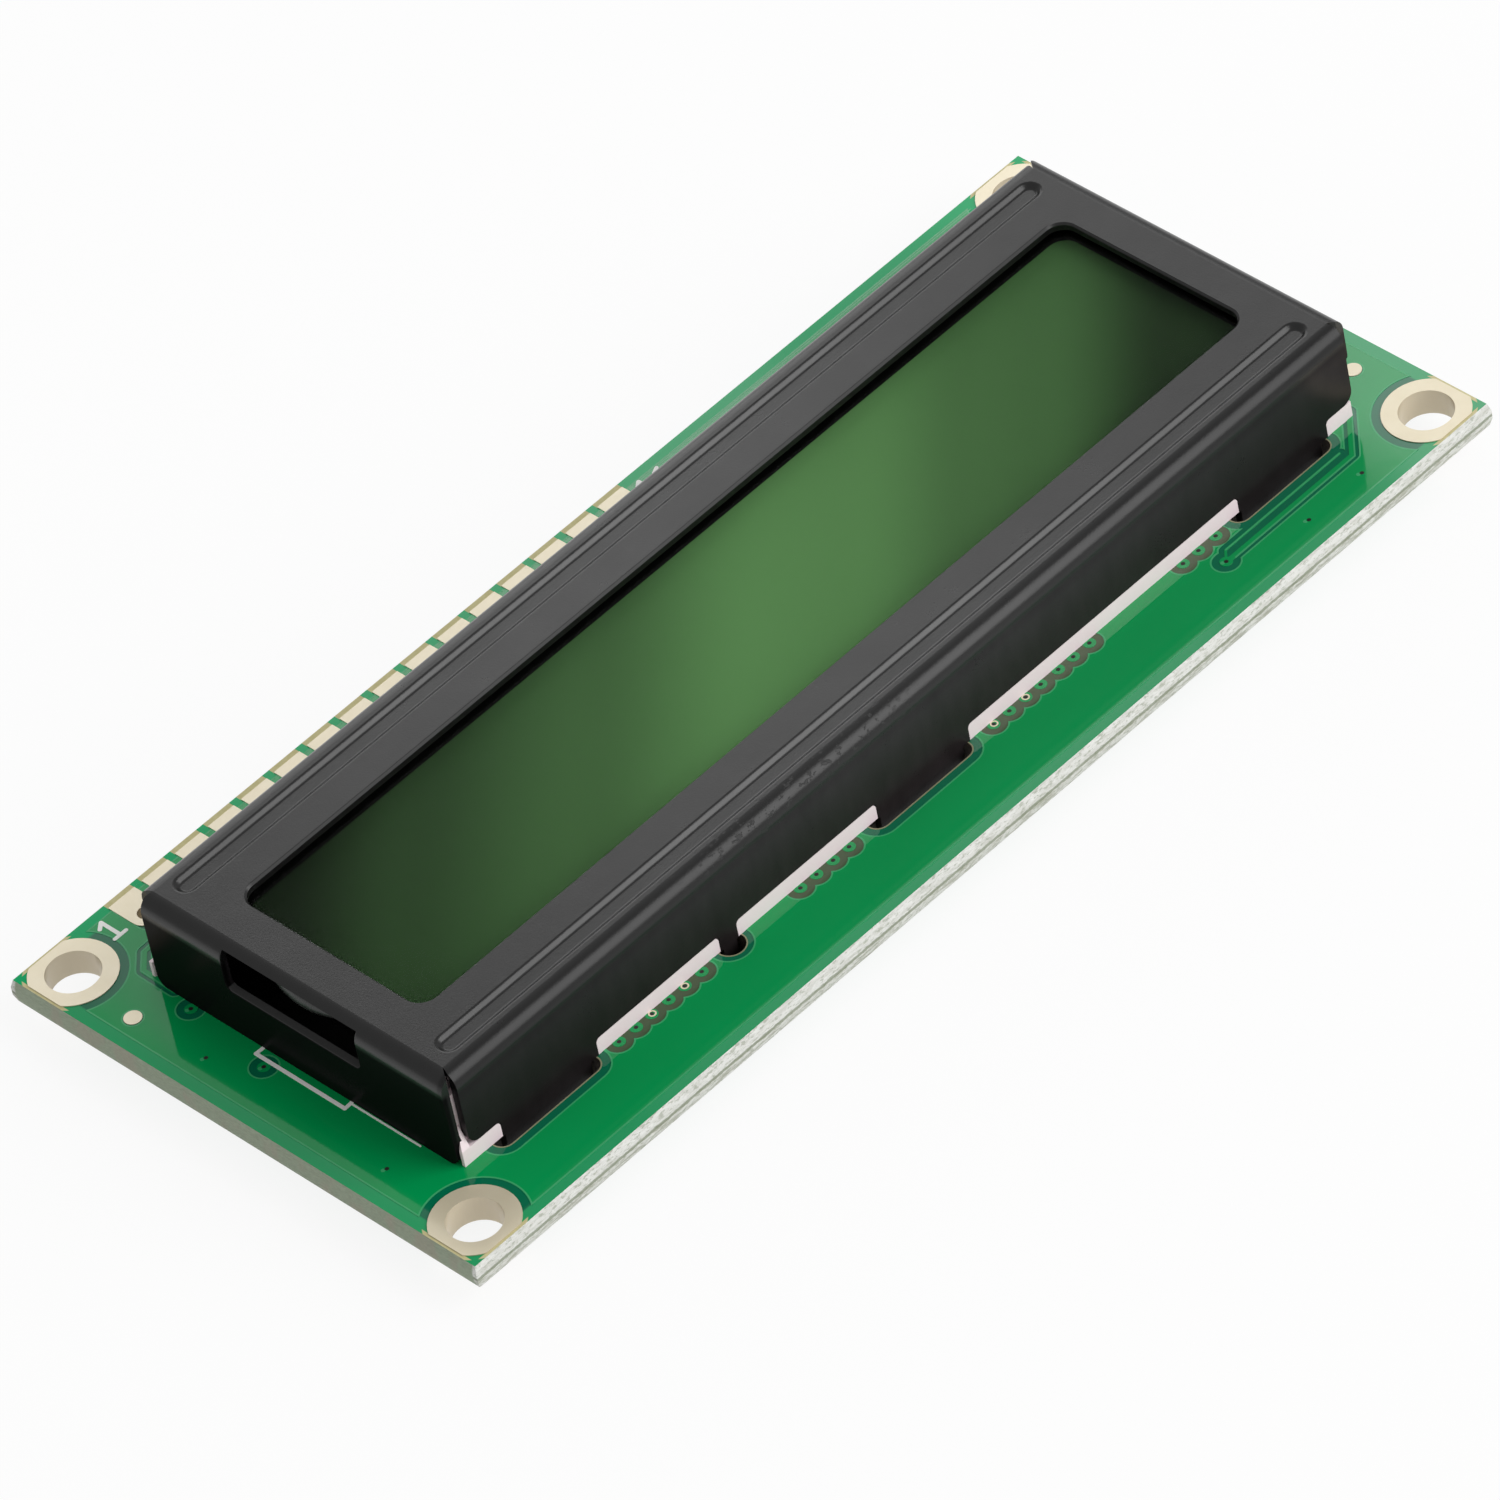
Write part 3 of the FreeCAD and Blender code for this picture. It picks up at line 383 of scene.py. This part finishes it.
def display_layer():
    """Yellow-green of the cell, with painted light: brightest in the middle and darker to both ends; black
    beyond the window as painted shade.
    """
    g = Graph("display_layer")
    x, y, _ = g.axes(g.mm)

    # Painted light: green along a slanted line, as places in millimetres and levels, on a ramp of 80 mm
    slant = -1.08
    span = 80
    painted_light_stops = ((-36, 0.013), (-26, 0.058), (-12, 0.13), (1, 0.25),
             (9, 0.235), (18, 0.15), (24, 0.135), (34, 0.03))
    slanted = g.math("MULTIPLY_ADD", y, slant, x)
    ramp = g.add("ValToRGB", {0: g.math("MULTIPLY_ADD", slanted, 1 / span, 0.5)})
    elements = ramp.color_ramp.elements
    ramp.color_ramp.interpolation = "EASE"
    while len(elements) < len(painted_light_stops):
        elements.new(0.5)
    for element, (place, green) in zip(elements, painted_light_stops):
        element.position = 0.5 + place / span
        element.color = (0.43 * green, green, 0.34 * green, 1.0)
    cells = g.noise(6.0, 2.0)
    green = g.mix(g.times(cells, 0.06), ramp.outputs[0], (0.02, 0.04, 0.015))

    # Painted shade of the bezel: black outside the window's round-cornered outline
    cx, cy, length, width, corner = WINDOW
    px = g.math("MAXIMUM", g.math("SUBTRACT", g.off(x, cx), length / 2 - corner), 0.0)
    py = g.math("MAXIMUM", g.math("SUBTRACT", g.off(y, cy), width / 2 - corner), 0.0)
    window_shade = g.step(g.length(px, py), corner - 0.03, corner + 0.03)
    tone = g.mix(window_shade, green, grey(0.002))
    return g.finish(g.principled(Base_Color=tone, Roughness=0.45, Specular_IOR_Level=0.02))


def moulded_white():
    """White moulded plastic with a faint warm cast, near-black in the recess behind the bezel's slot."""
    g = Graph("moulded_white")
    x, y, z = g.axes(g.mm)
    cloud = g.noise(0.5, 3.0)
    tone = g.mix(cloud, (0.95, 0.79, 0.83), (0.97, 0.83, 0.87))
    recess = g.times(g.step(x, -34.72, -34.68), g.step(x, -32.18, -32.22),
                     g.step(g.off(y, WINDOW[1]), 9.9, 9.8), g.step(z, 3.6, 3.65))
    tone = g.mix(recess, tone, grey(0.003))
    grain = g.noise(8.0, 3.0)
    shader = g.principled(Base_Color=tone, Roughness=0.45, Normal=g.bump(grain, 0.006))
    return g.finish(shader)


def plain(name, first, second, roughness, scale=2.0, metallic=0.0, relief=0.01, coat=0.0):
    """Simple surface: two close tones in a noise, with a bump of the same noise."""
    g = Graph(name)
    cloud = g.noise(scale, 4.0)
    tone = g.mix(cloud, first, second)
    rough = g.math("MULTIPLY_ADD", cloud, 0.12, roughness)
    shader = g.principled(Base_Color=tone, Roughness=rough, Metallic=metallic, Coat_Weight=coat,
                          Normal=g.bump(cloud, relief))
    return g.finish(shader)


def rubber_strip():
    """Grey silicone with the thin dark layers of a striped contact strip."""
    g = Graph("rubber_strip")
    x, _, _ = g.axes(g.mm)
    layers = g.math("SINE", g.times(x, 35.0))
    tone = g.mix(g.step(layers, -0.3, 0.3), grey(0.30), grey(0.02))
    return g.finish(g.principled(Base_Color=tone, Roughness=0.6, Normal=g.bump(layers, 0.004)))


def hole_shade_disc():
    """Painted shade: near-black disc over the mouth of a small drilled hole."""
    g = Graph("hole_shade_disc")
    tone = g.mix(g.noise(12.0, 2.0), grey(0.003), (0.010, 0.012, 0.008))
    return g.finish(g.principled(Base_Color=tone, Roughness=0.5))


def circle(x, y, radius, count=40):
    """Outline of a circle."""
    turns = [2 * math.pi * index / count for index in range(count)]
    return [(x + radius * math.cos(turn), y + radius * math.sin(turn)) for turn in turns]


def rounded(x, y, length, width, radius, count=8):
    """Outline of a rectangle with round corners."""
    points = []
    corners = ((1, 1), (-1, 1), (-1, -1), (1, -1))
    for index, (sx, sy) in enumerate(corners):
        centre = (x + sx * (length / 2 - radius), y + sy * (width / 2 - radius))
        for part in range(count + 1):
            turn = math.pi / 2 * (index + part / count)
            points.append((centre[0] + radius * math.cos(turn), centre[1] + radius * math.sin(turn)))
    return points


def ribbon(path, width):
    """Outlines that together cover a line of the given width: a bar for each run, a disc at each point."""
    outlines = [circle(x, y, width / 2, 12) for x, y in path]
    for (ax, ay), (bx, by) in zip(path, path[1:]):
        along = Vector((bx - ax, by - ay)).normalized()
        side = Vector((-along.y, along.x)) * width / 2
        start, end = Vector((ax, ay)), Vector((bx, by))
        outlines.append([tuple(corner) for corner in (start - side, end - side, end + side, start + side)])
    return outlines


def place(name, vertices, faces, material, slot, smooth=False):
    """New piece that rides on the body."""
    mesh = bpy.data.meshes.new(name)
    mesh.from_pydata([tuple(value * MM for value in vertex) for vertex in vertices], [], faces)
    mesh.polygons.foreach_set("use_smooth", [smooth] * len(mesh.polygons))
    mesh.materials.append(material)
    mesh.update()
    piece = bpy.data.objects.new(name, mesh)
    bpy.context.scene.collection.objects.link(piece)
    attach(piece, "root")
    return piece


def region(name, keep, drop, low, high, material, slot, inside=None):
    """Sheet between two levels over the kept outlines, less the dropped ones, and only inside the last."""
    points = []
    outlines = []
    kinds = []
    for kind, group in enumerate((keep, drop, inside or [])):
        for outline in group:
            outlines.append(list(range(len(points), len(points) + len(outline))))
            points += [Vector(point) for point in outline]
            kinds.append(kind)
    flat, _, triangles, _, _, origins = delaunay_2d_cdt(points, [], outlines, 1, 1e-5, True)
    kept = []
    for triangle, sources in zip(triangles, origins):
        found = {kinds[source] for source in sources}
        if 0 in found and 1 not in found and (inside is None or 2 in found):
            kept.append(list(triangle))
    used = sorted({corner for face in kept for corner in face})
    order = {corner: index for index, corner in enumerate(used)}
    kept = [[order[corner] for corner in face] for face in kept]
    count = len(used)
    vertices = [(flat[corner].x, flat[corner].y, level) for level in (high, low) for corner in used]
    faces = kept + [[corner + count for corner in reversed(face)] for face in kept]
    edges = {(face[index], face[(index + 1) % 3]) for face in kept for index in range(3)}
    for a, b in sorted(edges):
        if (b, a) not in edges:
            faces.append([b, a, a + count, b + count])
    return place(name, vertices, faces, material, slot)


def pour(extra=0.0):
    """Outline of the copper pour, larger by the extra all round."""
    half_length, half_width = POUR
    return rounded(0, 0, 2 * (half_length + extra), 2 * (half_width + extra), POUR_CORNER + extra)


def grown(x, y, size, extra=0.0):
    """Outline of an opening given as length, width and corner radius, larger by the extra all round."""
    length, width, corner = size
    return rounded(x, y, length + 2 * extra, width + 2 * extra, corner + extra)


def pin_openings(length, inner_corner, extra=0.0):
    """Outlines of the openings round the connector pads: a round inner part and one that leaves the board."""
    outlines = [grown(x, y - 0.1, (length, 2.6, inner_corner), extra) for x, y in PINS]
    return outlines + [grown(x, 17.2, (length, 3.0, 0.1), extra) for x, _ in PINS]


def clearances(extra=0.0):
    """Outlines of the openings in the display side's copper, each larger by the extra all round."""
    outlines = [circle(x, y, 3.1 + extra, 72) for x, y in HOLES]
    outlines += [grown(x, y, FOOT_CLEARANCE, extra) for x, y in FOOT_SLOTS]
    outlines += [circle(x, y, 1.3 + extra) for x, y in GROUND_HOLES]
    outlines += [circle(x, y, 0.6 + extra) for x, y in MARKS]
    outlines += pin_openings(2.0, 0.9, extra)
    outlines += [circle(x, y, VIA_CLEARANCE + extra, 28) for x, y in ROW_VIAS + RING_VIAS]
    for path in THIN_TRACES + WIDE_TRACES:
        outlines += ribbon(path, 0.85 + 2 * extra)
    return outlines


def shifted(path, dx, dy):
    return [(x + dx, y + dy) for x, y in path]


def display_side():
    """Copper under the mask on the display side: one pour, its openings, and the lines and vias in them, with
    painted highlights in a lighter green along edges, traces and vias.
    """
    copper = mask_over("mask_over_copper", (0.0, 0.29, 0.072), (0.0, 0.335, 0.088))
    lit = mask_over("mask_edge_highlight", (0.03, 0.36, 0.13), (0.06, 0.42, 0.17), 0.2)
    thin = mask_over("mask_over_laminate", (0.040, 0.085, 0.035), (0.075, 0.105, 0.050), 0.2)
    top = BOARD_TOP + MASK
    slot = "green_laminate"
    region("mask_relief_front", [pour()], clearances(), BOARD_TOP, top, copper, slot)
    # Painted highlights: lighter green lines along the openings' edges and round the pour's rim.
    region("mask_edge_highlights_front", clearances(0.06), clearances(-0.04), BOARD_TOP, top + 0.003, lit, slot,
           [pour(0.05)])
    region("mask_rim_highlight_front", [pour(0.05)], [pour(-0.05)] + clearances(), BOARD_TOP, top + 0.004, lit, slot)
    hollows = [circle(x, y, 0.84, 28) for x, y in ROW_VIAS]
    region("mask_hollows_front", hollows, [], BOARD_TOP, BOARD_TOP + 0.006, thin, slot)

    lines = [circle(x, y, VIA_LAND, 20) for x, y in ROW_VIAS + RING_VIAS]
    for path in THIN_TRACES:
        lines += ribbon(path, 0.15)
    for path in WIDE_TRACES:
        lines += ribbon(path, 0.35)
    drills = [circle(x, y, VIA_DRILL, 12) for x, y in ROW_VIAS + RING_VIAS]
    region("mask_lines_front", lines, drills, BOARD_TOP, top, copper, slot)

    # Painted highlights: glints along the traces, a line behind the pads, and one beside each via dimple.
    dimples = RING_VIAS + PLAIN_VIAS
    glints = ribbon(THIN_TRACES[0][1:], 0.10)
    glints += ribbon([(7.6, 17.0), (35.0, 17.0)], 0.09)
    glints += ribbon(shifted(WIDE_TRACES[0][1:4], 0.05, -0.14), 0.09)
    glints += ribbon(shifted(WIDE_TRACES[1], -0.10, 0.10), 0.09)
    glints += [circle(x - 0.21, y + 0.08, 0.13, 14) for x, y in dimples]
    mouths = [circle(x, y, 0.15, 14) for x, y in dimples]
    region("mask_glints_front", glints, mouths, BOARD_TOP, top + 0.006, lit, slot)

    # Painted shade: near-black discs over the via mouths.
    mouths = [circle(x, y, VIA_DRILL, 16) for x, y in ROW_VIAS + dimples]
    region("via_mouths_front", mouths, [], BOARD_TOP, top + 0.002, hole_shade_disc(), slot)
    rings = [circle(x, y, 0.24, 20) for x, y in BARE_VIAS]
    holes = [circle(x, y, 0.15, 16) for x, y in BARE_VIAS]
    region("via_rings_front", rings, holes, BOARD_TOP, top + 0.004, pads, "tinned_copper")

    width = 0.08
    rims = [grown(x, y, FOOT_SLOT, width) for x, y in FOOT_SLOTS]
    rims += [circle(x, y, GROUND_RADIUS + width) for x, y in GROUND_HOLES]
    slots = [grown(x, y, FOOT_SLOT) for x, y in FOOT_SLOTS]
    slots += [circle(x, y, GROUND_RADIUS) for x, y in GROUND_HOLES]
    region("slot_rims_front", rims, slots, BOARD_TOP, BOARD_TOP + 0.01, bare_laminate(), slot)


def fan_out(blob, ends, turn):
    """Traces from a blob's edge that first run out slantwise and then straight to their ends."""
    bx, by, radius = blob
    paths = []
    for ex, ey in ends:
        angle = math.atan2(turn - by, 0.75 * (ex - bx))
        start = (bx + 0.9 * radius * math.cos(angle), by + 0.9 * radius * math.sin(angle))
        paths.append([start, (ex, turn), (ex, ey)])
    return paths


def underside():
    """Copper, traces and print of the side that carries the chips."""
    copper = mask_over("mask_over_copper_back", (0.0, 0.27, 0.068), (0.0, 0.31, 0.082))
    low = BOARD_UNDER - MASK
    slot = "green_laminate"
    holes = [circle(x, y, 3.0, 72) for x, y in HOLES]
    holes += [grown(x, y, FOOT_CLEARANCE) for x, y in FOOT_SLOTS]
    holes += [circle(x, y, 1.6) for x, y in GROUND_HOLES]
    holes += [circle(x, y, 1.5) for x, y in LEADS]
    holes += pin_openings(2.28, 1.0)
    parts = [circle(x, y, radius - 0.05, 72) for x, y, radius in BLOBS]
    parts += [rounded(x, y, length + 0.1, width + 0.1, 0.1) for x, y, length, width in CHIPS]
    field = [rounded(-4.5, -0.3, 66.0, 20.4, 1.5)]
    region("mask_relief_back", [pour()], holes + field, low, BOARD_UNDER, copper, slot)
    paths = []
    for blob, first_x, count in zip(BLOBS, (-32.0, -1.4), (21, 20)):
        for end_y, turn in ((-9.2, -7.4), (9.0, 7.2)):
            paths += fan_out(blob, [(first_x + 1.3 * index, end_y) for index in range(count)], turn)
    lines = [circle(x, y, 0.36, 18) for path in paths for x, y in path[-1:]]
    for path in paths:
        lines += ribbon(path, 0.22)
    drills = [circle(x, y, VIA_DRILL, 12) for path in paths for x, y in path[-1:]]
    region("mask_lines_back", lines, drills + holes + parts, low, BOARD_UNDER, copper, slot)
    # Painted shade: near-black discs over the via mouths.
    region("via_mouths_back", drills, parts, low + 0.004, BOARD_UNDER, hole_shade_disc(), slot)
    marks = [circle(x, y, radius + 0.75, 72) for x, y, radius in BLOBS]
    inner = [circle(x, y, radius + 0.55, 72) for x, y, radius in BLOBS]
    marks += [rounded(x, y, length + 1.0, width + 0.9, 0.2) for x, y, length, width in CHIPS]
    inner += [rounded(x, y, length + 0.66, width + 0.56, 0.1) for x, y, length, width in CHIPS]
    region("screen_print_back", marks, inner, low - PRINT, BOARD_UNDER, white_print, slot)


paint = black_paint()
pads = plating()
tin = solder()
white_print = screen_print()
film = clear_layer("clear_film", grey(0.02), True)
glass = clear_layer("clear_glass", (0.012, 0.016, 0.013), False)
white = moulded_white()
rubber = rubber_strip()
potting = plain("potting", grey(0.006), grey(0.012), 0.22, 0.6, relief=0.03, coat=0.3)

looks = {
    "circuit_board": laminate(),
    "mounting_hole_lands": pads,
    "header_pads": pads,
    "fiducial_marks": pads,
    "contact_fingers_front": pads,
    "contact_fingers_back": pads,
    "bezel_frame": paint,
    "front_polarizer": film,
    "front_glass": glass,
    "rear_glass": plain("cell_rear", (0.010, 0.014, 0.010), (0.015, 0.020, 0.014), 0.25),
    "rear_polarizer": plain("rear_film", (0.05, 0.12, 0.04), (0.07, 0.15, 0.05), 0.35),
    "end_seal": plain("seal_epoxy", grey(0.012), grey(0.03), 0.3, 1.5),
    "zebra_strip_front": rubber,
    "zebra_strip_back": rubber,
    "backlight_frame": white,
    "light_guide": plain("guide_acrylic", (0.70, 0.74, 0.70), (0.78, 0.82, 0.78), 0.12),
    "diffuser_sheet": plain("diffuser_film", grey(0.80), grey(0.86), 0.5),
    "reflector_sheet": plain("reflector_film", grey(0.82), grey(0.88), 0.4),
    "led_strip": plain("strip_laminate", (0.70, 0.70, 0.64), (0.78, 0.78, 0.72), 0.45),
    "leds": plain("lamp_resin", (0.80, 0.72, 0.22), (0.88, 0.80, 0.32), 0.3),
    "backlight_leads": tin,
    "solder_joints": tin,
    "chip_end_caps": tin,
    "epoxy_blob_controller": potting,
    "epoxy_blob_driver": potting,
    "resistor_bodies": plain("resistor_black", grey(0.012), grey(0.022), 0.35),
    "capacitor_bodies": plain("capacitor_tan", (0.36, 0.25, 0.15), (0.44, 0.32, 0.20), 0.45),
}
for name, material in looks.items():
    nodes[name].data.materials.clear()
    nodes[name].data.materials.append(material)

display_side()
underside()

cx, cy, length, width, corner = WINDOW
sheet = [rounded(cx, cy, length + 1.4, width + 1.9, 0.3)]
region("display_layer", sheet, [], CELL_PLANE, CELL_PLANE + 0.02, display_layer(), "green_film")

top = BOARD_TOP + MASK
outlines = ribbon([(-35.21, 2.85), (-35.87, 2.88), (-35.88, -4.0), (-35.18, -3.97)], 0.24)
outlines += ribbon([(-35.42, -4.1), (-35.42, -9.3)], 0.12)
for x in (-33.98, 7.95):
    outlines += ribbon([(x, 15.45), (x, 17.0), (x - 0.42, 16.65)], 0.25)
    outlines += ribbon([(x - 0.42, 15.45), (x + 0.42, 15.45)], 0.25)
six = [(9.35, 16.95), (8.95, 16.75), (8.78, 16.3), (8.78, 15.85), (9.0, 15.55), (9.35, 15.5), (9.6, 15.75),
       (9.6, 16.05), (9.35, 16.3), (9.0, 16.25), (8.8, 16.0)]
outlines += ribbon(six, 0.23)
region("screen_print_front", outlines, [], top, top + PRINT, white_print, "green_laminate")

# Floor, lamps and camera
g = Graph("floor")
shade = g.add("BsdfDiffuse", {"Color": (*grey(0.95), 1.0)}).outputs[0]
glow = g.add("Emission", {"Color": (1.0, 1.0, 1.0, 1.0), "Strength": 1.0}).outputs[0]
path = g.add("LightPath").outputs
seen = g.math("MAXIMUM", path["Is Camera Ray"], path["Is Glossy Ray"])
seen = g.math("MAXIMUM", seen, path["Is Transmission Ray"])
seen = g.times(seen, 0.88)
floor_material = g.finish(g.add("MixShader", {0: seen, 1: shade, 2: glow}).outputs[0])
mesh = bpy.data.meshes.new("floor")
reach = 3.0
corners = [(-reach, -reach, 0), (reach, -reach, 0), (reach, reach, 0), (-reach, reach, 0)]
mesh.from_pydata(corners, [], [(0, 1, 2, 3)])
mesh.materials.append(floor_material)
floor = bpy.data.objects.new("floor", mesh)
bpy.context.scene.collection.objects.link(floor)


DOWN = Vector((0.0, 0.0, -1.0))


def lamp(name, place_m, size, power, facing=None):
    """Soft square lamp that faces the object, or the way it is given."""
    data = bpy.data.lights.new(name, "AREA")
    data.shape = "RECTANGLE"
    data.size, data.size_y = size
    data.energy = power
    light = bpy.data.objects.new(name, data)
    light.location = place_m
    facing = facing or -Vector(place_m)
    light.rotation_euler = facing.to_track_quat("-Z", "Y").to_euler()
    light.visible_camera = False
    bpy.context.scene.collection.objects.link(light)
    return light


lamp("back_panel", (0.34775, 0.615, 0.552), (0.1545, 0.37), 0.24, DOWN)
lamp("back_panel_right", (0.5875, 0.580, 0.552), (0.325, 0.44), 0.674, DOWN)
lamp("back_panel_middle", (0.3525, 0.615, 0.560), (0.095, 0.37), 0.133, DOWN)
lamp("back_panel_low", (0.352, 0.664, 0.264), (0.60, 0.25), 0.71)
lamp("front_softbox", (0.433, -0.618, 0.490), (0.70, 0.75), 5.8)

world = bpy.data.worlds.new("studio")
world.use_nodes = True
world.node_tree.nodes["Background"].inputs["Color"].default_value = (1.0, 1.0, 1.0, 1.0)
world.node_tree.nodes["Background"].inputs["Strength"].default_value = 0.5
bpy.context.scene.world = world

camera_data = bpy.data.cameras.new("camera")
camera_data.sensor_width = 36.0
camera_data.lens = 304.642
camera_data.clip_start = 0.01
camera = bpy.data.objects.new("camera", camera_data)
camera.location = (-0.3055305, -0.3976748, 0.4777062)
camera.rotation_euler = [math.radians(angle) for angle in (45.655530, 8.743722, -45.860808)]
bpy.context.scene.collection.objects.link(camera)
bpy.context.scene.camera = camera
bpy.context.scene.view_settings.view_transform = "Standard"
